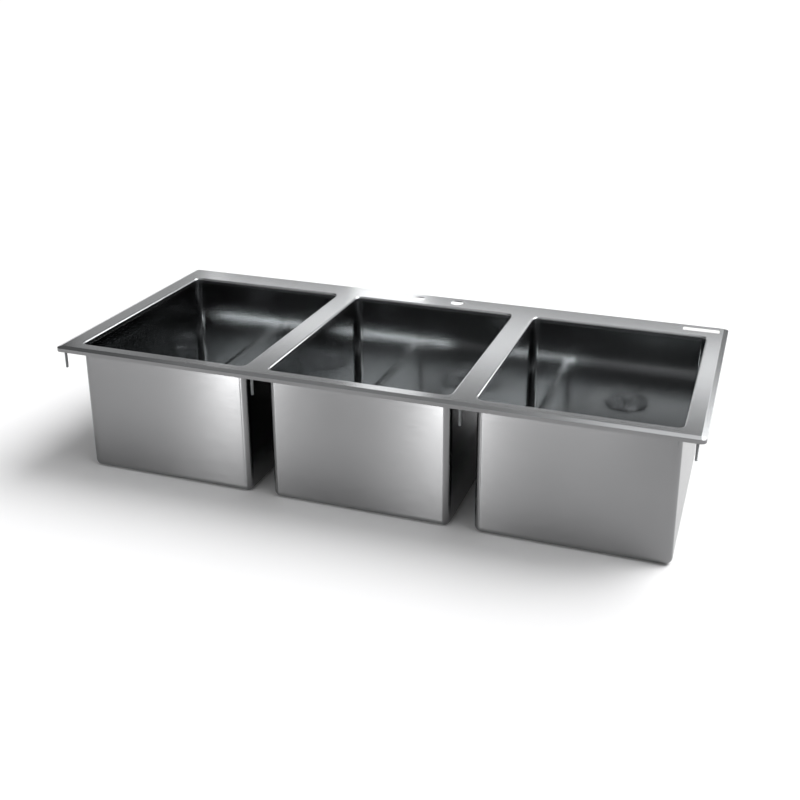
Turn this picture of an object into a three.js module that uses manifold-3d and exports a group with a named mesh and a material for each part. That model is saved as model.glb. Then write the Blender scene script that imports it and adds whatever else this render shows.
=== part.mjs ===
// Three compartment drop-in sink.
// Millimetres, +Z up, +X along the length, +Y towards the back (the faucet side).
// The origin is under the middle of the deck, on the surface that the bowls stand on.

import * as THREE from 'three';
import { mergeVertices } from 'three/addons/utils/BufferGeometryUtils.js';
import Module from 'manifold-3d';

const wasm = await Module();
wasm.setup();

// ---------------------------------------------------------------- driving dimensions

const LENGTH = 1422;
const WIDTH = 622;
const DECK_TOP = 306;
const GAP = 0.3;

// bowls
const BOWL_X = 406.4;
const BOWL_Y = 508;
const BOWL_PITCH = 461.6;
const BOWL_CENTRE_Y = -21;
const BOWL_SHEET = 1.2;
const CORNER_RADIUS = 14.7;
const COVE_RADIUS = 13.5;
const BOWL_PLACES = {
  left: [-BOWL_PITCH, BOWL_CENTRE_Y, 0],
  centre: [0, BOWL_CENTRE_Y, 0],
  right: [BOWL_PITCH, BOWL_CENTRE_Y, 0],
};

// deck
const DECK_SHEET = 1.5;
const BEVEL_RUN = 10.5;
const BEVEL_DROP = 3.5;
const RIM_DROP = 6.5;
const RIM_CORNER = 2;
const ROLL_RADIUS = 4.5;
const COLLAR_DROP = 12;
const FAUCET_HOLE_RADIUS = 15.9;
const FAUCET_HOLE_X = 50.8;
const FAUCET_HOLE_Y = 270;

// hold-down studs
const STUD_RADIUS = 3;
const STUD_BOTTOM = 252;
const STUD_INSET = 15.2;
const STUD_END_INSET = 16.2;
const STUD_COLLAR_RADIUS = 4.1;
const STUD_COLLAR_HEIGHT = 0.8;
const STUD_CHAMFER = 0.8;

// drains
const DRAIN_HOLE_RADIUS = 46;
const FLANGE_RADIUS = 57;
const THROAT_RADIUS = 44.2;
const SLEEVE_RADIUS = 45.4;
const GASKET_INNER_RADIUS = 47.5;
const GASKET_OUTER_RADIUS = 56;
const GASKET_HEIGHT = 1.2;
const STRAINER_LIFT = 1.5;
const STRAINER_SHEET = 1;
const STRAINER_HOLE_RADIUS = 2.4;
const STRAINER_RINGS = [[11, 6], [21.5, 10], [32, 14]];

// label
const LABEL_X = 84;
const LABEL_Y = 20;
const LABEL_HEIGHT = 0.2;
const LABEL_GAP = 0.1;
const LABEL_CENTRE = [650, 273];

// facets
const CORNER_DIVISIONS = 3;
const ROUND_STEPS = 5;
const LATHE_SEGMENTS = 30;
const STUD_SEGMENTS = 10;
const HOLE_SEGMENTS = 24;
const STRAINER_HOLE_SEGMENTS = 6;
const LONG_CUT = 40;

// ---------------------------------------------------------------- materials

const brushedSteel = new THREE.MeshStandardMaterial({ color: 0x8f9193, roughness: 0.35, metalness: 1 });
const polishedSteel = new THREE.MeshStandardMaterial({ color: 0xb4b6b8, roughness: 0.2, metalness: 1 });
const studSteel = new THREE.MeshStandardMaterial({ color: 0x8a8c8e, roughness: 0.4, metalness: 1 });
const blackRubber = new THREE.MeshStandardMaterial({ color: 0x1c1c1c, roughness: 0.8, metalness: 0 });
const whitePaper = new THREE.MeshStandardMaterial({ color: 0xf0f0ee, roughness: 0.6, metalness: 0 });

// ---------------------------------------------------------------- helpers

function toSolid(geometry) {
  const bare = geometry.clone();
  bare.deleteAttribute('normal');
  bare.deleteAttribute('uv');
  const merged = mergeVertices(bare, 1e-4);
  return new wasm.Manifold(new wasm.Mesh({
    numProp: 3,
    vertProperties: Float32Array.from(merged.attributes.position.array),
    triVerts: Uint32Array.from(merged.index.array),
  }));
}

function toGeometry(solid) {
  const mesh = solid.getMesh();
  const geometry = new THREE.BufferGeometry();
  geometry.setAttribute('position', new THREE.BufferAttribute(mesh.vertProperties, 3));
  geometry.setIndex(new THREE.BufferAttribute(mesh.triVerts, 1));
  geometry.computeVertexNormals();
  return geometry;
}

function addMesh(group, name, geometry, material) {
  const mesh = new THREE.Mesh(geometry, material);
  mesh.name = name;
  group.add(mesh);
  return mesh;
}

function roundedRectangle(halfX, halfY, radius) {
  const x = halfX - radius;
  const y = halfY - radius;
  const quarter = Math.PI / 2;
  const shape = new THREE.Shape();
  shape.moveTo(x, -halfY);
  shape.absarc(x, -y, radius, -quarter, 0, false);
  shape.absarc(x, y, radius, 0, quarter, false);
  shape.absarc(-x, y, radius, quarter, 2 * quarter, false);
  shape.absarc(-x, -y, radius, 2 * quarter, 3 * quarter, false);
  shape.closePath();
  return shape;
}

// A straight prism of the shape between two heights.
function prism(shape, bottom, top) {
  const geometry = new THREE.ExtrudeGeometry(shape, {
    depth: top - bottom,
    bevelEnabled: false,
    curveSegments: CORNER_DIVISIONS,
  });
  geometry.translate(0, 0, bottom);
  return geometry;
}

// A prism whose ends ease into its sides. The sides stand outside the shape by run,
// or inside it when run is negative, and the ends take up height each.
function easedPrism(shape, run, height, steps, bottom, top) {
  const geometry = new THREE.ExtrudeGeometry(shape, {
    depth: top - bottom - 2 * height,
    bevelEnabled: true,
    bevelThickness: height,
    bevelSize: run,
    bevelSegments: steps,
    curveSegments: CORNER_DIVISIONS,
  });
  geometry.translate(0, 0, bottom + height);
  return geometry;
}

function lathe(profile, segments) {
  const points = profile.map(([radius, height]) => new THREE.Vector2(radius, height));
  const geometry = new THREE.LatheGeometry(points, segments);
  geometry.rotateX(Math.PI / 2);
  return geometry;
}

function cylinder(radius, bottom, top, segments) {
  const geometry = new THREE.CylinderGeometry(radius, radius, top - bottom, segments);
  geometry.rotateX(Math.PI / 2);
  geometry.translate(0, 0, (top + bottom) / 2);
  return geometry;
}

// ---------------------------------------------------------------- bowl

// A pressed bowl: coved floor, round corners, open top, one drain hole.
function bowlGeometry() {
  const footprint = roundedRectangle(
    BOWL_X / 2 - COVE_RADIUS,
    BOWL_Y / 2 - COVE_RADIUS,
    CORNER_RADIUS - COVE_RADIUS,
  );
  const brim = DECK_TOP - COLLAR_DROP - GAP;
  const outerCove = COVE_RADIUS + BOWL_SHEET;
  const above = DECK_TOP + LONG_CUT;
  const outer = toSolid(easedPrism(footprint, outerCove, outerCove, ROUND_STEPS, 0, above));
  const inner = toSolid(
    easedPrism(footprint, COVE_RADIUS, COVE_RADIUS, ROUND_STEPS, BOWL_SHEET, above),
  );
  const aboveBrim = toSolid(prism(roundedRectangle(BOWL_X, BOWL_Y, CORNER_RADIUS), brim, above + 1));
  const drainHole = toSolid(cylinder(DRAIN_HOLE_RADIUS, -1, LONG_CUT, LATHE_SEGMENTS));
  return toGeometry(outer.subtract(inner).subtract(aboveBrim).subtract(drainHole));
}

// ---------------------------------------------------------------- deck

// A block with a sloped rim, smaller than the deck's outline by inset all round.
function rimBlock(inset, top, run, drop) {
  const outline = roundedRectangle(
    LENGTH / 2 - inset - run,
    WIDTH / 2 - inset - run,
    RIM_CORNER,
  );
  return toSolid(easedPrism(outline, run, drop, 1, top - LONG_CUT, top));
}

// A plug that fills a rolled bowl opening and widens round the roll up to height top.
function rolledPlug(wall, radius, top) {
  const mouth = roundedRectangle(
    BOWL_X / 2 + wall + radius,
    BOWL_Y / 2 + wall + radius,
    CORNER_RADIUS + wall + radius,
  );
  return toSolid(easedPrism(mouth, -radius, radius, ROUND_STEPS, top - LONG_CUT, top));
}

function deckGeometry() {
  const underside = DECK_TOP - DECK_SHEET;
  const slope = Math.atan2(BEVEL_DROP, BEVEL_RUN);
  const innerRun = BEVEL_RUN - DECK_SHEET + DECK_SHEET * Math.tan(slope / 2);
  const innerDrop = innerRun * Math.tan(slope);
  const wholeDeck = roundedRectangle(LENGTH, WIDTH, RIM_CORNER);

  const belowRim = toSolid(prism(wholeDeck, -LONG_CUT, DECK_TOP - RIM_DROP));
  const belowCollar = toSolid(prism(wholeDeck, -LONG_CUT, DECK_TOP - COLLAR_DROP));
  const hollow = rimBlock(DECK_SHEET, underside, innerRun, innerDrop);
  let deck = rimBlock(0, DECK_TOP, BEVEL_RUN, BEVEL_DROP).subtract(belowRim).subtract(hollow);

  const collar = rolledPlug(DECK_SHEET, ROLL_RADIUS - DECK_SHEET, underside).subtract(belowCollar);
  const opening = rolledPlug(0, ROLL_RADIUS, DECK_TOP);
  for (const place of Object.values(BOWL_PLACES)) {
    deck = deck.add(collar.translate(place)).subtract(opening.translate(place));
  }

  const faucetHole = toSolid(
    cylinder(FAUCET_HOLE_RADIUS, DECK_TOP - LONG_CUT, DECK_TOP + 1, HOLE_SEGMENTS),
  );
  for (const side of [-1, 1]) {
    deck = deck.subtract(faucetHole.translate([side * FAUCET_HOLE_X, FAUCET_HOLE_Y, 0]));
  }
  return toGeometry(deck);
}

// ---------------------------------------------------------------- studs

function studGeometry() {
  const top = DECK_TOP - DECK_SHEET - GAP;
  const collarBottom = top - STUD_COLLAR_HEIGHT;
  const fillet = STUD_COLLAR_RADIUS - STUD_RADIUS;
  return lathe([
    [0, STUD_BOTTOM],
    [STUD_RADIUS - STUD_CHAMFER, STUD_BOTTOM],
    [STUD_RADIUS, STUD_BOTTOM + STUD_CHAMFER],
    [STUD_RADIUS, collarBottom - fillet],
    [STUD_COLLAR_RADIUS, collarBottom],
    [STUD_COLLAR_RADIUS, top],
    [0, top],
  ], STUD_SEGMENTS);
}

// ---------------------------------------------------------------- drain fitting

const GASKET_BOTTOM = BOWL_SHEET + GAP;
const FLANGE_BOTTOM = GASKET_BOTTOM + GASKET_HEIGHT + GAP;
const STRAINER_BOTTOM = FLANGE_BOTTOM + STRAINER_LIFT;
const STRAINER_TOP = STRAINER_BOTTOM + STRAINER_SHEET;
const KNOB_BOTTOM = STRAINER_TOP + GAP;

function gasketGeometry() {
  return lathe([
    [GASKET_INNER_RADIUS, GASKET_BOTTOM],
    [GASKET_OUTER_RADIUS, GASKET_BOTTOM],
    [GASKET_OUTER_RADIUS, GASKET_BOTTOM + GASKET_HEIGHT],
    [GASKET_INNER_RADIUS, GASKET_BOTTOM + GASKET_HEIGHT],
    [GASKET_INNER_RADIUS, GASKET_BOTTOM],
  ], LATHE_SEGMENTS);
}

// A beaded flange that dishes down to a short open sleeve.
function flangeGeometry() {
  return lathe([
    [SLEEVE_RADIUS, FLANGE_BOTTOM],
    [SLEEVE_RADIUS, GAP],
    [THROAT_RADIUS, GAP],
    [THROAT_RADIUS, FLANGE_BOTTOM - 0.4],
    [THROAT_RADIUS + 2.2, FLANGE_BOTTOM + 1.6],
    [FLANGE_RADIUS - 6, FLANGE_BOTTOM + 3],
    [FLANGE_RADIUS - 2.6, FLANGE_BOTTOM + 3.2],
    [FLANGE_RADIUS - 0.8, FLANGE_BOTTOM + 2.6],
    [FLANGE_RADIUS, FLANGE_BOTTOM + 1.2],
    [FLANGE_RADIUS, FLANGE_BOTTOM],
    [SLEEVE_RADIUS, FLANGE_BOTTOM],
  ].reverse(), LATHE_SEGMENTS);
}

// A perforated plate whose raised edge rests in the flange's dish.
function strainerGeometry() {
  const plate = toSolid(lathe([
    [0, STRAINER_BOTTOM],
    [THROAT_RADIUS - 0.2, STRAINER_BOTTOM],
    [THROAT_RADIUS + 3.2, STRAINER_BOTTOM + 0.75],
    [THROAT_RADIUS + 4.4, STRAINER_BOTTOM + 1.12],
    [THROAT_RADIUS + 4.4, STRAINER_BOTTOM + 1.8],
    [THROAT_RADIUS + 3.7, STRAINER_BOTTOM + 2],
    [THROAT_RADIUS, STRAINER_TOP],
    [0, STRAINER_TOP],
  ], LATHE_SEGMENTS));
  const hole = toSolid(
    cylinder(STRAINER_HOLE_RADIUS, 0, STRAINER_TOP + 1, STRAINER_HOLE_SEGMENTS),
  );
  let perforated = plate;
  for (const [ringRadius, count] of STRAINER_RINGS) {
    for (let index = 0; index < count; index += 1) {
      const angle = (2 * Math.PI * index) / count;
      const place = [ringRadius * Math.cos(angle), ringRadius * Math.sin(angle), 0];
      perforated = perforated.subtract(hole.translate(place));
    }
  }
  return toGeometry(perforated);
}

// A foot, a thin stem and a flat round knob to lift the strainer by.
function knobGeometry() {
  return lathe([
    [0, KNOB_BOTTOM],
    [7, KNOB_BOTTOM],
    [7, KNOB_BOTTOM + 1],
    [3.5, KNOB_BOTTOM + 2],
    [3.5, KNOB_BOTTOM + 6],
    [8, KNOB_BOTTOM + 8.4],
    [9.5, KNOB_BOTTOM + 11],
    [8, KNOB_BOTTOM + 13.6],
    [4, KNOB_BOTTOM + 15],
    [0, KNOB_BOTTOM + 15.4],
  ], HOLE_SEGMENTS / 2);
}

// ---------------------------------------------------------------- assembly

const sink = new THREE.Group();

addMesh(sink, 'deck', deckGeometry(), brushedSteel);

for (const [name, place] of Object.entries(BOWL_PLACES)) {
  const compartment = new THREE.Group();
  compartment.position.set(...place);
  addMesh(compartment, `bowl_${name}`, bowlGeometry(), brushedSteel);
  addMesh(compartment, `drain_gasket_${name}`, gasketGeometry(), blackRubber);
  addMesh(compartment, `drain_flange_${name}`, flangeGeometry(), polishedSteel);
  addMesh(compartment, `strainer_${name}`, strainerGeometry(), polishedSteel);
  addMesh(compartment, `strainer_knob_${name}`, knobGeometry(), polishedSteel);
  sink.add(compartment);
}

const studPlaces = [
  ['left_end', STUD_END_INSET - LENGTH / 2],
  ['left_gap', -BOWL_PITCH / 2],
  ['right_gap', BOWL_PITCH / 2],
  ['right_end', LENGTH / 2 - STUD_END_INSET],
];
for (const [row, side] of [['front', -1], ['back', 1]]) {
  for (const [place, x] of studPlaces) {
    const stud = addMesh(sink, `stud_${row}_${place}`, studGeometry(), studSteel);
    stud.position.set(x, side * (WIDTH / 2 - STUD_INSET), 0);
  }
}

const label = addMesh(
  sink,
  'blank_label',
  new THREE.BoxGeometry(LABEL_X, LABEL_Y, LABEL_HEIGHT),
  whitePaper,
);
label.position.set(...LABEL_CENTRE, DECK_TOP + LABEL_GAP + LABEL_HEIGHT / 2);

export default sink;
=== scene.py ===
"""Finished surfaces, floor, light and camera for a three compartment drop-in sink."""

import math

import bpy  # noqa: E402
from mathutils import Matrix, Vector  # noqa: E402
from mathutils.geometry import tessellate_polygon  # noqa: E402


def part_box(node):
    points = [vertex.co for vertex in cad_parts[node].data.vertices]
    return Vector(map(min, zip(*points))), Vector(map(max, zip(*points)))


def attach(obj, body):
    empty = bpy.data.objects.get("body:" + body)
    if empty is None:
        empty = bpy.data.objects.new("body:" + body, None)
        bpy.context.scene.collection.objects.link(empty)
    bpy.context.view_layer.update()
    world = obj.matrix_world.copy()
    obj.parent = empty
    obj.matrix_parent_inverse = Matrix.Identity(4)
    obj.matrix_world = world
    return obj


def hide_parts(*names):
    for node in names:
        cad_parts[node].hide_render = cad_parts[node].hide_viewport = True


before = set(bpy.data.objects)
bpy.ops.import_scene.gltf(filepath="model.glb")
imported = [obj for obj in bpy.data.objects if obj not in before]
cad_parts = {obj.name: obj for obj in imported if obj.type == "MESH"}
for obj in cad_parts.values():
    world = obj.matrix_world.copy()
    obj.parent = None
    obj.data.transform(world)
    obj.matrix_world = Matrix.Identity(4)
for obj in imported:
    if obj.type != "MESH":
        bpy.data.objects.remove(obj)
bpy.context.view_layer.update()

MM = 0.001
SIDES = ("left", "centre", "right")

# ---------------------------------------------------------------- sizes in millimetres

# a RING is the reach at which a flat face starts, and a MARGIN its distance from a hole's edge

BOWL_SHEET = 1.2
CORNER_RADIUS = 14.7
COVE_RADIUS = 13.5
BRIM_ROUND = 0.12
BOWL_RING = 0.6

DECK_SHEET = 1.5
RIM_CORNER = 12.5
RIM_RING = 0.6
BEVEL_RUN = 10.5
BEVEL_DROP = 3.5
ROLL_RADIUS = 4.5
ROLL_MARGINS = {"left": 1.0, "centre": 1.4, "right": 1.2}  # unequal, so no edges line up
FAUCET_HOLE_RADIUS = 15.9
FAUCET_HOLE_X = 50.8
FAUCET_HOLE_Y = 270
FAUCET_HOLE_MARGIN = 1.5

DRAIN_HOLE_RADIUS = 46
DRAIN_HOLE_MARGIN = 1.5
GASKET_INNER_RADIUS = 47.5
GASKET_ROUND = 0.4
FLANGE_RADIUS = 57
FLANGE_RISE = 3.2
THROAT_RADIUS = 44.2
SLEEVE_RADIUS = 45.4

STRAINER_SHEET = 1.0
STRAINER_HOLE_RADIUS = 2.4
STRAINER_HOLE_MARGIN = 0.5
STRAINER_RINGS = ((11, 6), (21.5, 10), (32, 14))
STRAINER_FLAT_RADIUS = 43

KNOB_FOOT_RADIUS = 7.0
KNOB_STEM_RADIUS = 3.2
KNOB_SHOULDER_RADIUS = 8.3
CAP_RADIUS = 0.4  # where a turned outline ends, short of its axis

STUD_RADIUS = 3.0
SHANK_RADIUS = 2.9
SHANK_LENGTH = 3.0
THREAD_PITCH = 1.0
THREAD_DEPTH = 0.5
THREAD_ROOT_SHARE = 0.15
THREAD_FLANK_SHARE = 0.7
SLOPE_STEP = 0.05
STUD_CHAMFER = 0.9
STUD_COLLAR_RADIUS = 4.1
STUD_COLLAR_HEIGHT = 0.9

LABEL_CORNER = 2.5
LABEL_RING = 1.5

# facets
CORNER_STEPS = 12
ROUND_STEPS = 8
CIRCLE_STEPS = 96
SMALL_CIRCLE_STEPS = 20
THREAD_STEPS = 20
THREAD_ROWS = 8

# ---------------------------------------------------------------- paths and profiles


def rectangle_path(centre, half_x, half_y, radius, steps=CORNER_STEPS):
    """Corner centres and outward directions round a rounded rectangle, anticlockwise."""
    path = []
    for corner, (side_x, side_y) in enumerate(((1, 1), (-1, 1), (-1, -1), (1, -1))):
        x = centre[0] + side_x * (half_x - radius)
        y = centre[1] + side_y * (half_y - radius)
        for step in range(steps + 1):
            angle = (corner + step / steps) * math.pi / 2
            path.append((x, y, math.cos(angle), math.sin(angle)))
    return path


def circle_path(centre, steps=CIRCLE_STEPS):
    """The same for a circle, whose reach is its whole radius."""
    angles = [2 * math.pi * step / steps for step in range(steps)]
    return [(centre[0], centre[1], math.cos(a), math.sin(a)) for a in angles]


def rounded(corners, closed=False, steps=ROUND_STEPS):
    """Rounds an outline of (reach, height, radius) into (reach, height, normal) points.

    The outward side is on the right of the direction of travel.
    """
    points = [Vector((c[0], c[1])) for c in corners]
    radii = [c[2] if len(c) > 2 else 0 for c in corners]
    count = len(points)
    profile = []
    for index in range(count):
        if not closed and index in (0, count - 1):
            near = 1 if index == 0 else count - 2
            along = (points[near] - points[index]) * (1 if index == 0 else -1)
            along.normalize()
            profile.append((*points[index], along.y, -along.x))
            continue
        point = points[index]
        arriving = (point - points[index - 1]).normalized()
        leaving = (points[(index + 1) % count] - point).normalized()
        turn = math.atan2(arriving.cross(leaving), arriving.dot(leaving))
        radius = max(radii[index], 0.02)
        start = point - arriving * radius * math.tan(abs(turn) / 2)
        side = 1 if turn > 0 else -1
        centre = start - side * radius * Vector((arriving.y, -arriving.x))
        pieces = max(1, round(steps * abs(turn) / (math.pi / 2)))
        for piece in range(pieces + 1):
            spin = Matrix.Rotation(turn * piece / pieces, 2)
            normal = spin @ Vector((arriving.y, -arriving.x))
            profile.append((*(centre + side * radius * normal), *normal))
    return profile


class Surface:
    """Collects vertices with exact normals, and faces with material indices."""

    def __init__(self):
        self.points = []
        self.normals = []
        self.faces = []
        self.face_slots = []

    def ring(self, path, reach, height, out, up):
        """Adds a ring that is the path moved outward by the reach, and returns its indices."""
        start = len(self.points)
        for x, y, along_x, along_y in path:
            self.points.append((x + along_x * reach, y + along_y * reach, height))
            self.normals.append((along_x * out, along_y * out, up))
        return list(range(start, len(self.points)))

    def add_face(self, face, slot=0):
        self.faces.append(face)
        self.face_slots.append(slot)

    def band(self, lower, upper, slot=0):
        """Joins two rings with one face for each step of the path."""
        count = len(lower)
        for index in range(count):
            after = (index + 1) % count
            self.add_face((lower[index], lower[after], upper[after], upper[index]), slot)

    def sweep(self, path, profile, closed=False, slots=None):
        """Sweeps the profile round the path and returns its first and last rings.

        A function given as slots turns a profile point into its band's material index.
        """
        rings = [self.ring(path, *point) for point in profile]
        pairs = list(zip(rings, rings[1:]))
        if closed:
            pairs.append((rings[-1], rings[0]))
        for index, (lower, upper) in enumerate(pairs):
            self.band(lower, upper, slots(profile[index]) if slots else 0)
        return rings[0], rings[-1]

    def cap(self, ring, up):
        """Closes a ring round the axis with one centre point."""
        height = self.points[ring[0]][2]
        centre_x = sum(self.points[i][0] for i in ring) / len(ring)
        centre_y = sum(self.points[i][1] for i in ring) / len(ring)
        self.points.append((centre_x, centre_y, height))
        self.normals.append((0, 0, up))
        hub = len(self.points) - 1
        for index, here in enumerate(ring):
            after = ring[(index + 1) % len(ring)]
            self.add_face((here, after, hub) if up > 0 else (after, here, hub))

    def plate(self, outline, holes, up, slot=0):
        """Fills the flat area between an outline and the holes in it."""
        order = [index for loop in (outline, *holes) for index in loop]
        loops = [[Vector(self.points[i]) for i in loop] for loop in (outline, *holes)]
        for corners in tessellate_polygon(loops):
            face = [order[corner] for corner in corners]
            a, b, c = (Vector(self.points[i]) for i in face)
            area = (b - a).cross(c - a).z
            if area == 0:
                continue
            self.add_face(face if area * up > 0 else face[::-1], slot)

    def build(self, name, body, nodes, materials):
        """Makes the object, which rides on the body and stands for the nodes."""
        mesh = bpy.data.meshes.new(name)
        mesh.from_pydata([tuple(c * MM for c in p) for p in self.points], [], self.faces)
        mesh.polygons.foreach_set("material_index", self.face_slots)
        mesh.polygons.foreach_set("use_smooth", [True] * len(self.faces))
        for material in materials:
            mesh.materials.append(material)
        mesh.normals_split_custom_set_from_vertices(
            [Vector(n).normalized() for n in self.normals]
        )
        piece = bpy.data.objects.new(name, mesh)
        bpy.context.scene.collection.objects.link(piece)
        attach(piece, body)
        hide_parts(*nodes)
        return piece


def node_box(node):
    """Centre and half sizes across, and lowest and highest point, in millimetres."""
    low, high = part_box(node)
    centre = ((low.x + high.x) / 2 / MM, (low.y + high.y) / 2 / MM)
    half = ((high.x - low.x) / 2 / MM, (high.y - low.y) / 2 / MM)
    return centre, half, low.z / MM, high.z / MM


# ---------------------------------------------------------------- materials

NOISE_SPREAD = (0.3, 0.7)  # where nearly all of a noise texture's values lie
SIDEWAYS_SHARE = 0.72  # how far a normal points along X on a wall that faces that way
GRAIN_ACROSS = 900  # the grain's scale across its length
GRAIN_AXIS = (0, -0.05, 1)  # leans a little, so that it's never along a level face's normal


class Shader:
    """A small wrapper that adds nodes to one material and links them."""

    def __init__(self, name):
        self.material = bpy.data.materials.new(name)
        self.material.use_nodes = True
        self.tree = self.material.node_tree
        self.surface = self.tree.nodes["Principled BSDF"]

    def node(self, kind, **settings):
        made = self.tree.nodes.new(kind)
        for key, value in settings.items():
            setattr(made, key, value)
        return made

    def link(self, source, target):
        self.tree.links.new(source, target)

    def fixed(self, **values):
        """Sets the shader's own inputs, named with underscores for spaces."""
        for key, value in values.items():
            self.surface.inputs[key.replace("_", " ")].default_value = value

    def coordinates(self, scale):
        """Places on the object in metres, times the scale along each axis."""
        place = self.node("ShaderNodeTexCoord")
        stretch = self.node("ShaderNodeMapping")
        stretch.inputs["Scale"].default_value = scale
        self.link(place.outputs["Object"], stretch.inputs["Vector"])
        return stretch.outputs["Vector"]

    def noise(self, scale, detail=3.0):
        """Noise with about as many spots to the metre along each axis as the scale says."""
        texture = self.node("ShaderNodeTexNoise")
        texture.inputs["Scale"].default_value = 1.0
        texture.inputs["Detail"].default_value = detail
        self.link(self.coordinates(scale), texture.inputs["Vector"])
        return texture.outputs["Fac"]

    def remap(self, source, low, high):
        """Spreads a noise value over the range from low to high."""
        spread = self.node("ShaderNodeMapRange")
        spread.inputs["From Min"].default_value = NOISE_SPREAD[0]
        spread.inputs["From Max"].default_value = NOISE_SPREAD[1]
        spread.inputs["To Min"].default_value = low
        spread.inputs["To Max"].default_value = high
        self.link(source, spread.inputs["Value"])
        return spread.outputs["Result"]

    def mix(self, factor, first, second):
        """The first value where the factor is 0, the second where it is 1."""
        blend = self.node("ShaderNodeMix", data_type="FLOAT")
        self.link(factor, blend.inputs[0])
        self.link(first, blend.inputs[2])
        self.link(second, blend.inputs[3])
        return blend.outputs[0]

    def sideways(self):
        """1 where the surface faces along X, 0 elsewhere."""
        geometry = self.node("ShaderNodeNewGeometry")
        axes = self.node("ShaderNodeSeparateXYZ")
        size = self.node("ShaderNodeMath", operation="ABSOLUTE")
        past = self.node("ShaderNodeMath", operation="GREATER_THAN")
        past.inputs[1].default_value = SIDEWAYS_SHARE
        self.link(geometry.outputs["Normal"], axes.inputs["Vector"])
        self.link(axes.outputs["X"], size.inputs[0])
        self.link(size.outputs[0], past.inputs[0])
        return past.outputs[0]

    def tint(self, factor, first, second):
        """Gives the surface the first colour where the factor is 0, the second where it is 1."""
        ramp = self.node("ShaderNodeMix", data_type="RGBA")
        self.link(factor, ramp.inputs[0])
        ramp.inputs[6].default_value = (*first, 1)
        ramp.inputs[7].default_value = (*second, 1)
        self.link(ramp.outputs[2], self.surface.inputs["Base Color"])

    def bump(self, height, distance):
        """Gives the surface a fine relief, as deep as the distance in metres."""
        relief = self.node("ShaderNodeBump")
        relief.inputs["Strength"].default_value = 1.0
        relief.inputs["Distance"].default_value = distance
        self.link(height, relief.inputs["Height"])
        self.link(relief.outputs["Normal"], self.surface.inputs["Normal"])

    def grain_direction(self):
        """Points the anisotropic highlight along the horizontal grain."""
        geometry = self.node("ShaderNodeNewGeometry")
        cross = self.node("ShaderNodeVectorMath", operation="CROSS_PRODUCT")
        cross.inputs[0].default_value = GRAIN_AXIS
        self.link(geometry.outputs["Normal"], cross.inputs[1])
        self.link(cross.outputs["Vector"], self.surface.inputs["Tangent"])


def brushed_steel(name, dark, light, roughness, grain_depth, anisotropy, long_grain):
    """Satin stainless sheet: fine grain along the length, turned round on the side walls."""
    shader = Shader(name)
    shader.fixed(Metallic=1.0, Anisotropic=anisotropy, Anisotropic_Rotation=0.25)
    along_x = shader.noise((long_grain, GRAIN_ACROSS, GRAIN_ACROSS))
    along_y = shader.noise((GRAIN_ACROSS, long_grain, GRAIN_ACROSS))
    grain = shader.mix(shader.sideways(), along_x, along_y)
    speckle = shader.noise((620, 620, 620), detail=2.0)
    patches = shader.noise((5, 5, 5), detail=2.0)
    shader.tint(shader.remap(patches, 0, 1), dark, light)
    shader.link(
        shader.remap(grain, roughness[0], roughness[1]),
        shader.surface.inputs["Roughness"],
    )
    relief = shader.node("ShaderNodeMath", operation="ADD")
    shader.link(grain, relief.inputs[0])
    shader.link(speckle, relief.inputs[1])
    shader.bump(relief.outputs[0], grain_depth)
    shader.grain_direction()
    return shader.material


def polished_steel(name, dark, light, roughness, smear, grain_depth=0):
    """Polished steel with faint smears of the given scale, and a fine grain if wanted."""
    shader = Shader(name)
    shader.fixed(Metallic=1.0)
    smears = shader.noise((smear, smear, smear), detail=4.0)
    shader.tint(shader.remap(smears, 0, 1), dark, light)
    shader.link(
        shader.remap(smears, roughness[0], roughness[1]),
        shader.surface.inputs["Roughness"],
    )
    if grain_depth:
        shader.bump(shader.noise((700, 700, 700), detail=2.0), grain_depth)
    return shader.material


def thread_steel():
    """Zinc-bright rolled thread, duller in patches."""
    shader = Shader("thread_steel")
    shader.fixed(Metallic=1.0)
    patches = shader.noise((300, 300, 90), detail=4.0)
    shader.tint(shader.remap(patches, 0, 1), (0.30, 0.31, 0.31), (0.50, 0.51, 0.52))
    shader.link(shader.remap(patches, 0.28, 0.46), shader.surface.inputs["Roughness"])
    shader.bump(shader.noise((1500, 1500, 1500), detail=2.0), 0.00003)
    return shader.material


def black_rubber():
    """Matte moulded rubber."""
    shader = Shader("black_rubber")
    bloom = shader.noise((120, 120, 120), detail=4.0)
    shader.tint(shader.remap(bloom, 0, 1), (0.010, 0.010, 0.011), (0.022, 0.022, 0.023))
    shader.link(shader.remap(bloom, 0.62, 0.82), shader.surface.inputs["Roughness"])
    shader.bump(shader.noise((2500, 2500, 2500), detail=2.0), 0.00006)
    return shader.material


def label_film():
    """Plain white film with a fine tooth."""
    shader = Shader("label_film")
    tooth = shader.noise((900, 900, 900), detail=3.0)
    shader.tint(shader.remap(tooth, 0, 1), (0.80, 0.80, 0.79), (0.88, 0.88, 0.87))
    shader.link(shader.remap(tooth, 0.34, 0.44), shader.surface.inputs["Roughness"])
    shader.bump(tooth, 0.00002)
    return shader.material


def floor_paint():
    """Pale seamless studio floor."""
    shader = Shader("studio_floor")
    patches = shader.noise((0.7, 0.7, 0.7), detail=2.0)
    shader.tint(shader.remap(patches, 0, 1), (0.84, 0.84, 0.845), (0.86, 0.86, 0.865))
    shader.fixed(Roughness=0.7)
    shader.surface.inputs["Specular IOR Level"].default_value = 0.2
    return shader.material


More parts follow.
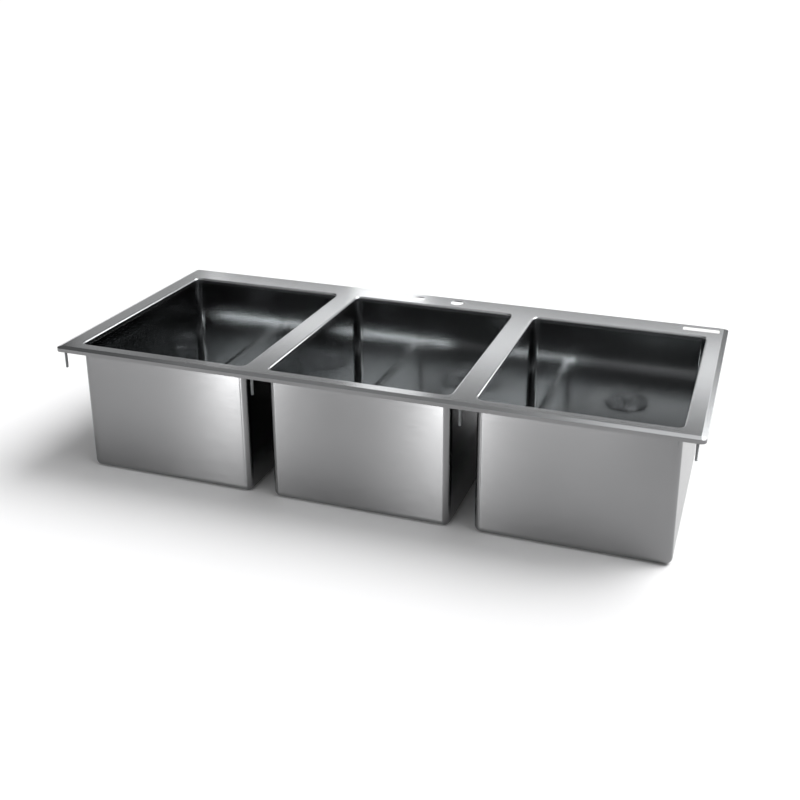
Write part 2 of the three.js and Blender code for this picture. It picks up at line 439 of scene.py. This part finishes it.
DECK_STEEL = brushed_steel(
    "deck_steel", (0.48, 0.49, 0.50), (0.51, 0.52, 0.53), roughness=(0.165, 0.178),
    grain_depth=0.000001, anisotropy=0.3, long_grain=6,
)
# the outside's low colour, far darker than the deck's steel although it is the same sheet, is
# painted shade on the bowls' outsides and on the deck's lip and underside
SHEET_OUTSIDE_PAINTED_SHADE = brushed_steel(
    "sheet_outside_painted_shade", (0.21, 0.211, 0.213), (0.23, 0.231, 0.233), roughness=(0.21, 0.24),
    grain_depth=0.000006, anisotropy=0.85, long_grain=40,
)
BOWL_INSIDE = polished_steel(
    "bowl_inside", (0.45, 0.46, 0.465), (0.49, 0.50, 0.505), roughness=(0.09, 0.11), smear=5
)
DRAIN_STEEL = polished_steel(
    "drain_steel", (0.44, 0.45, 0.46), (0.52, 0.53, 0.54), roughness=(0.18, 0.28), smear=60,
    grain_depth=0.00002,
)
THREAD_STEEL = thread_steel()
BLACK_RUBBER = black_rubber()

# ---------------------------------------------------------------- sheet metal


def weld_height(side):
    """Where the bowl meets the deck's collar: the CAD's gap of under 0.5 mm is closed."""
    return round(node_box(f"bowl_{side}")[3])


def make_deck():
    """One sheet: sloped rim with a short lip, rolled bowl openings and two faucet holes."""
    centre, half, lip, top = node_box("deck")
    under = top - DECK_SHEET
    slope = math.atan2(BEVEL_DROP, BEVEL_RUN)
    inner = RIM_CORNER - DECK_SHEET
    inner_run = BEVEL_RUN - DECK_SHEET + DECK_SHEET * math.tan(slope / 2)
    collar = weld_height("centre")
    surface = Surface()

    def finish_of(point):
        """The lip and the underside have the second material, whose dark colour is painted shade;
        the top and slope have the first.
        """
        _, _, out, up = point
        return 1 if out > 0.9 or up < 0 else 0

    rim = rectangle_path(centre, *half, RIM_CORNER)
    rim_under, rim_top = surface.sweep(rim, rounded([
        (RIM_RING, under),
        (inner - inner_run, under, 1.0),
        (inner, under - inner_run * math.tan(slope), 0.7),
        (inner, lip, 0.3),
        (RIM_CORNER, lip, 0.3),
        (RIM_CORNER, top - BEVEL_DROP, 0.9),
        (RIM_CORNER - BEVEL_RUN, top, 1.8),
        (RIM_RING, top),
    ]), slots=finish_of)
    lower, upper = [], []
    wall = CORNER_RADIUS + DECK_SHEET
    for side in SIDES:
        margin = CORNER_RADIUS + ROLL_RADIUS + ROLL_MARGINS[side]
        place, bowl_half, _, _ = node_box(f"bowl_{side}")
        inside = [size - BOWL_SHEET for size in bowl_half]
        mouth = rectangle_path(place, *inside, CORNER_RADIUS)
        rings = surface.sweep(mouth, rounded([
            (margin, top),
            (CORNER_RADIUS, top, ROLL_RADIUS),
            (CORNER_RADIUS, collar, BRIM_ROUND),
            (wall, collar, BRIM_ROUND),
            (wall, under, ROLL_RADIUS - DECK_SHEET),
            (margin, under),
        ]))
        upper.append(rings[0])
        lower.append(rings[1])
    reach = FAUCET_HOLE_RADIUS + FAUCET_HOLE_MARGIN
    for side in (-1, 1):
        hole = circle_path((side * FAUCET_HOLE_X, FAUCET_HOLE_Y), CIRCLE_STEPS // 2)
        rings = surface.sweep(hole, rounded([
            (reach, top),
            (FAUCET_HOLE_RADIUS, top, 0.4),
            (FAUCET_HOLE_RADIUS, under, 0.3),
            (reach, under),
        ]))
        upper.append(rings[0])
        lower.append(rings[1])
    surface.plate(rim_top, upper, 1)
    surface.plate(rim_under, lower, -1, slot=1)
    surface.build("sink_deck", "sink", ["deck"], [DECK_STEEL, SHEET_OUTSIDE_PAINTED_SHADE])


def make_bowl(side):
    """A pressed bowl with coves and a drain hole, dull outside with a darker colour that is painted
    shade, and polished inside.
    """
    place, half, bottom, _ = node_box(f"bowl_{side}")
    outer = CORNER_RADIUS + BOWL_SHEET
    brim = weld_height(side)
    floor = bottom + BOWL_SHEET
    surface = Surface()

    def finish_of(point):
        """The inside walls and coves have the second material, the outside the first."""
        _, height, out, up = point
        return 1 if out < -0.99 or (up > 0 and height < brim - 1) else 0

    walls = rectangle_path(place, *half, outer)
    under, inside = surface.sweep(walls, rounded([
        (BOWL_RING, bottom),
        (outer, bottom, COVE_RADIUS + BOWL_SHEET),
        (outer, brim, BRIM_ROUND),
        (CORNER_RADIUS, brim, BRIM_ROUND),
        (CORNER_RADIUS, floor, COVE_RADIUS),
        (BOWL_RING, floor),
    ]), slots=finish_of)
    hole = circle_path(place)
    reach = DRAIN_HOLE_RADIUS + DRAIN_HOLE_MARGIN
    top_ring, under_ring = surface.sweep(hole, rounded([
        (reach, floor),
        (DRAIN_HOLE_RADIUS, floor, 0.4),
        (DRAIN_HOLE_RADIUS, bottom, 0.4),
        (reach, bottom),
    ]))
    surface.plate(inside, [top_ring], 1, slot=1)
    surface.plate(under, [under_ring], -1)
    return surface.build(
        f"sink_bowl_{side}", "sink", [f"bowl_{side}"], [SHEET_OUTSIDE_PAINTED_SHADE, BOWL_INSIDE]
    )


# ---------------------------------------------------------------- drain pieces


def make_gasket(side):
    """A flat rubber ring with rounded edges under the drain flange."""
    node = f"drain_gasket_{side}"
    place, half, bottom, top = node_box(node)
    surface = Surface()
    surface.sweep(circle_path(place), rounded([
        (GASKET_INNER_RADIUS, bottom, GASKET_ROUND),
        (half[0], bottom, GASKET_ROUND),
        (half[0], top, GASKET_ROUND),
        (GASKET_INNER_RADIUS, top, GASKET_ROUND),
    ], closed=True, steps=4), closed=True)
    surface.build(f"gasket_{side}", "sink", [node], [BLACK_RUBBER])


def make_flange(side):
    """A beaded drain flange that dishes down to a short open sleeve."""
    node = f"drain_flange_{side}"
    place, _, bottom, top = node_box(node)
    under = top - FLANGE_RISE
    surface = Surface()
    surface.sweep(circle_path(place), rounded([
        (THROAT_RADIUS, bottom, 0.3),
        (SLEEVE_RADIUS, bottom, 0.3),
        (SLEEVE_RADIUS, under, 0.05),
        (FLANGE_RADIUS, under, 0.4),
        (FLANGE_RADIUS, under + 1.9, 0.9),
        (FLANGE_RADIUS - 2.2, top, 1.6),
        (FLANGE_RADIUS - 4.6, under + 2.5, 2.0),
        (FLANGE_RADIUS - 7.2, under + 2.9, 3.0),
        (THROAT_RADIUS + 2.2, under + 1.5, 1.5),
        (THROAT_RADIUS, under - 0.4, 1.2),
    ], closed=True), closed=True)
    surface.build(f"flange_{side}", "sink", [node], [DRAIN_STEEL])


def make_strainer(side):
    """A perforated plate whose raised edge rests in the flange's dish."""
    node = f"strainer_{side}"
    place, half, bottom, top = node_box(node)
    floor = bottom + STRAINER_SHEET
    rim = half[0]
    surface = Surface()
    under_ring, floor_ring = surface.sweep(circle_path(place), rounded([
        (STRAINER_FLAT_RADIUS, bottom),
        (rim - 4.6, bottom, 1.5),
        (rim - 1.2, bottom + 0.75, 1.5),
        (rim, bottom + 1.12, 0.3),
        (rim, bottom + 1.8, 0.25),
        (rim - 0.7, top, 0.4),
        (rim - 4.4, floor, 1.5),
        (STRAINER_FLAT_RADIUS, floor),
    ]))
    upper, lower = [], []
    reach = STRAINER_HOLE_RADIUS + STRAINER_HOLE_MARGIN
    for ring_radius, count in STRAINER_RINGS:
        for index in range(count):
            angle = 2 * math.pi * index / count
            centre = (
                place[0] + ring_radius * math.cos(angle),
                place[1] + ring_radius * math.sin(angle),
            )
            rings = surface.sweep(circle_path(centre, SMALL_CIRCLE_STEPS), rounded([
                (reach, floor),
                (STRAINER_HOLE_RADIUS, floor, 0.3),
                (STRAINER_HOLE_RADIUS, bottom, 0.3),
                (reach, bottom),
            ], steps=3))
            upper.append(rings[0])
            lower.append(rings[1])
    surface.plate(floor_ring, upper, 1)
    surface.plate(under_ring, lower, -1)
    surface.build(
        f"strainer_cup_{side}", f"lift_out_{side}", [node], [DRAIN_STEEL]
    )


def make_knob(side):
    """A foot, a waisted stem and a domed knob, all turned."""
    node = f"strainer_knob_{side}"
    place, half, bottom, top = node_box(node)
    surface = Surface()
    first, last = surface.sweep(circle_path(place, CIRCLE_STEPS // 2), rounded([
        (CAP_RADIUS, bottom),
        (KNOB_FOOT_RADIUS, bottom, 0.4),
        (KNOB_FOOT_RADIUS, bottom + 1.2, 0.5),
        (KNOB_STEM_RADIUS, bottom + 2.4, 2.0),
        (KNOB_STEM_RADIUS, bottom + 6.2, 3.0),
        (KNOB_SHOULDER_RADIUS, bottom + 8.0, 1.5),
        (half[0], bottom + 11.0, 1.6),
        (KNOB_SHOULDER_RADIUS, top - 1.6, 2.2),
        (4.0, top - 0.3, 4.0),
        (CAP_RADIUS, top),
    ]))
    surface.cap(first, -1)
    surface.cap(last, 1)
    surface.build(
        f"lift_knob_{side}", f"lift_out_{side}", [node], [DRAIN_STEEL]
    )


# ---------------------------------------------------------------- studs and label


def thread_reach(turns, start, shank, height):
    """The threaded rod's radius at a place counted in turns, with a chamfer and a run-out."""
    flank = abs(turns % 1.0 - 0.5) * 2
    depth = min(max((flank - THREAD_ROOT_SHARE) / THREAD_FLANK_SHARE, 0.0), 1.0)
    reach = STUD_RADIUS - THREAD_DEPTH * (1 - depth)
    reach = min(reach, STUD_RADIUS - STUD_CHAMFER + (height - start))
    fade = max(0.0, 1 - (shank - height) / THREAD_PITCH)
    return reach + (SHANK_RADIUS - reach) * fade


def make_stud(node):
    """A weld collar and a rod with a rolled helical thread and a chamfered end."""
    place, _, bottom, top = node_box(node)
    collar = top - STUD_COLLAR_HEIGHT
    shank = collar - SHANK_LENGTH
    rows = int((shank - bottom) / THREAD_PITCH * THREAD_ROWS)
    step_up = (shank - bottom) / rows
    rise = SLOPE_STEP * THREAD_PITCH
    surface = Surface()
    path = circle_path(place, THREAD_STEPS)
    rings = []
    for row in range(rows):
        height = bottom + step_up * row
        ring = []
        for step, (x, y, along_x, along_y) in enumerate(path):
            turns = (height - bottom) / THREAD_PITCH - step / THREAD_STEPS
            reach = thread_reach(turns, bottom, shank, height)
            above = thread_reach(turns + SLOPE_STEP, bottom, shank, height + rise)
            slope = (above - reach) / rise
            ring.append(len(surface.points))
            surface.points.append((x + along_x * reach, y + along_y * reach, height))
            surface.normals.append((along_x, along_y, -slope))
        rings.append(ring)
    for lower, upper in zip(rings, rings[1:]):
        surface.band(lower, upper)
    first, last = surface.sweep(path, rounded([
        (SHANK_RADIUS, shank),
        (SHANK_RADIUS, collar, 0.8),
        (STUD_COLLAR_RADIUS, collar, 0.25),
        (STUD_COLLAR_RADIUS, top, 0.2),
        (CAP_RADIUS, top),
    ], steps=4))
    surface.band(rings[-1], first)
    surface.cap(rings[0], -1)
    surface.cap(last, 1)
    name = node.replace("stud_", "threaded_stud_")
    surface.build(name, "sink", [node], [THREAD_STEEL])


def make_label():
    """A blank white film with round corners."""
    place, half, bottom, top = node_box("blank_label")
    surface = Surface()
    outline = rectangle_path(place, *half, LABEL_CORNER, steps=6)
    first, last = surface.sweep(outline, rounded([
        (LABEL_RING, bottom),
        (LABEL_CORNER, bottom, 0.03),
        (LABEL_CORNER, top, 0.08),
        (LABEL_RING, top),
    ], steps=3))
    surface.plate(first, [], -1)
    surface.plate(last, [], 1)
    surface.build("label_blank", "sink", ["blank_label"], [label_film()])


make_deck()
bowls = bpy.data.collections.new("bowls")
for compartment in SIDES:
    bowls.objects.link(make_bowl(compartment))
    make_gasket(compartment)
    make_flange(compartment)
    make_strainer(compartment)
    make_knob(compartment)
for node_name in sorted(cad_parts):
    if node_name.startswith("stud_"):
        make_stud(node_name)
make_label()

# ---------------------------------------------------------------- floor, light and camera

# metres and degrees
FLOOR_REACH = 80.0
FLOOR_HEIGHT = -0.0004  # just under the bowls, so that no faces coincide
DECK_HEIGHT = 0.306
PANEL_HEIGHT = 0.26
STRIP_HEIGHT = 0.28
STRIP_ELEVATION = 0.3
STRIP_DISTANCE = 2.0
STRIP_AIM_Y = -0.275
STRIP_AIM_Z = 0.15
SUN_SPREAD = 40
HORIZON_TOP = 5
SKY_START = 15
CAMERA_PLACE = (0.7817, -2.1550, 1.1859)
CAMERA_AZIMUTH = 18.065
CAMERA_ELEVATION = 19.482
CAMERA_ROLL = 0.424
SENSOR_WIDTH = 36  # millimetres, as the lens
LENS = 48.02
LENS_SHIFT = (-0.0429, -0.1142)
CLIP_END = 500


def direction(azimuth, elevation):
    """Points away from the sink: to the front for azimuth 0, to the right for 90."""
    turn, rise = math.radians(azimuth), math.radians(elevation)
    return Vector((
        math.sin(turn) * math.cos(rise),
        -math.cos(turn) * math.cos(rise),
        math.sin(rise),
    ))


def add_floor():
    """A level pale floor that reaches past the edge of every view."""
    mesh = bpy.data.meshes.new("floor")
    corners = [(-1, -1), (1, -1), (1, 1), (-1, 1)]
    places = [(x * FLOOR_REACH, y * FLOOR_REACH, FLOOR_HEIGHT) for x, y in corners]
    mesh.from_pydata(places, [], [(0, 1, 2, 3)])
    mesh.materials.append(floor_paint())
    floor = bpy.data.objects.new("floor", mesh)
    bpy.context.scene.collection.objects.link(floor)


def add_softbox(name, azimuth, elevation, distance, width, height, power, aim, only=None):
    """A rectangular studio light that faces the aim.

    With only, it lights just that collection, as a flagged light does.
    """
    light = bpy.data.lights.new(name, "AREA")
    light.shape = "RECTANGLE"
    light.size = width
    light.size_y = height
    light.energy = power
    back = direction(azimuth, elevation)
    box = bpy.data.objects.new(name, light)
    box.location = Vector(aim) + back * distance
    box.rotation_mode = "QUATERNION"
    box.rotation_quaternion = back.to_track_quat("Z", "Y")
    box.visible_camera = False
    if only:
        box.light_linking.receiver_collection = only
    bpy.context.scene.collection.objects.link(box)


def add_sun(name, azimuth, elevation, strength):
    """A very large soft light far away, which lights the whole floor evenly."""
    light = bpy.data.lights.new(name, "SUN")
    light.angle = math.radians(SUN_SPREAD)
    light.energy = strength
    sun = bpy.data.objects.new(name, light)
    sun.rotation_mode = "QUATERNION"
    sun.rotation_quaternion = direction(azimuth, elevation).to_track_quat("Z", "Y")
    bpy.context.scene.collection.objects.link(sun)


def add_world(horizon, sky):
    """A white horizon, as a curved studio backdrop gives, under a dim ceiling."""
    world = bpy.data.worlds.new("studio")
    world.use_nodes = True
    nodes, links = world.node_tree.nodes, world.node_tree.links
    toward = nodes.new("ShaderNodeTexCoord")
    axes = nodes.new("ShaderNodeSeparateXYZ")
    fade = nodes.new("ShaderNodeMapRange")
    fade.interpolation_type = "SMOOTHSTEP"
    fade.inputs["From Min"].default_value = math.sin(math.radians(HORIZON_TOP))
    fade.inputs["From Max"].default_value = math.sin(math.radians(SKY_START))
    fade.inputs["To Min"].default_value = horizon
    fade.inputs["To Max"].default_value = sky
    links.new(toward.outputs["Generated"], axes.inputs["Vector"])
    links.new(axes.outputs["Z"], fade.inputs["Value"])
    links.new(fade.outputs["Result"], nodes["Background"].inputs["Strength"])
    nodes["Background"].inputs["Color"].default_value = (1, 1, 1, 1)
    bpy.context.scene.world = world


def add_camera():
    """The photographed view: from the front, to the right and a little above."""
    forward = -direction(CAMERA_AZIMUTH, CAMERA_ELEVATION)
    roll = math.radians(CAMERA_ROLL)
    right = forward.cross(Vector((0, 0, 1))).normalized()
    up = right.cross(forward)
    tilted_right = right * math.cos(roll) + up * math.sin(roll)
    tilted_up = -right * math.sin(roll) + up * math.cos(roll)
    data = bpy.data.cameras.new("camera")
    data.sensor_width = SENSOR_WIDTH
    data.lens = LENS
    data.shift_x, data.shift_y = LENS_SHIFT
    data.clip_end = CLIP_END
    camera = bpy.data.objects.new("camera", data)
    axes = Matrix((tilted_right, tilted_up, -forward)).transposed()
    camera.matrix_world = Matrix.Translation(CAMERA_PLACE) @ axes.to_4x4()
    bpy.context.scene.collection.objects.link(camera)
    bpy.context.scene.camera = camera


add_floor()
add_world(horizon=1.0, sky=0.13)
add_sun("key", 126, 52, 2.5)
add_sun("back", 168, 50, 0.3)
add_sun("right", 90, 60, 1.1)
add_sun("front", -20, 65, 0.3)
add_sun("back_left", 205, 62, 0.06)

# behind, for the reflections in the deck and its openings' edges
BACK_LIGHTS = (
    # name, azimuth, elevation, distance, width, height, power, aim
    ("back_panel", 180, 21.9, 3.23, 3.5, PANEL_HEIGHT, 5.6, (-0.55, 0, DECK_HEIGHT)),
    ("back_panel_right", 180, 21.9, 3.23, 0.5, PANEL_HEIGHT, 0.3, (1.45, 0, DECK_HEIGHT)),
    ("back_panel_left", 213.7, 18.4, 3.8, 0.9, 0.7, 0.75, (-0.68, 0, DECK_HEIGHT)),
    ("back_strip", 201.1, 20.5, 3.43, 0.38, 0.95, 1.5, (0, 0, DECK_HEIGHT)),
    ("back_right_low", 145.7, 12.7, 3.6, 0.75, 0.95, 8.5, (0, 0, DECK_HEIGHT)),
    ("back_right_high", 153, 28.5, 3.45, 1.05, 0.75, 7.5, (0, 0, DECK_HEIGHT)),
)
for settings in BACK_LIGHTS:
    add_softbox(*settings)

# in front, for the bright bands on the bowls' fronts
FRONT_STRIPS = (
    # name, azimuth, width, power, x of the aim
    ("front_left", -28, 0.06, 21, -0.225),
    ("front_middle", -16, 0.06, 26, 0.235),
    ("front_far_left", -33, 0.35, 1.5, -0.5),
    ("front_right", -9, 0.35, 3.5, 0.5),
)
for strip, azimuth, width, power, aim_x in FRONT_STRIPS:
    aim = (aim_x, STRIP_AIM_Y, STRIP_AIM_Z)
    add_softbox(
        strip, azimuth, STRIP_ELEVATION, STRIP_DISTANCE, width, STRIP_HEIGHT, power, aim, only=bowls
    )

add_camera()
bpy.context.scene.view_settings.view_transform = "Standard"
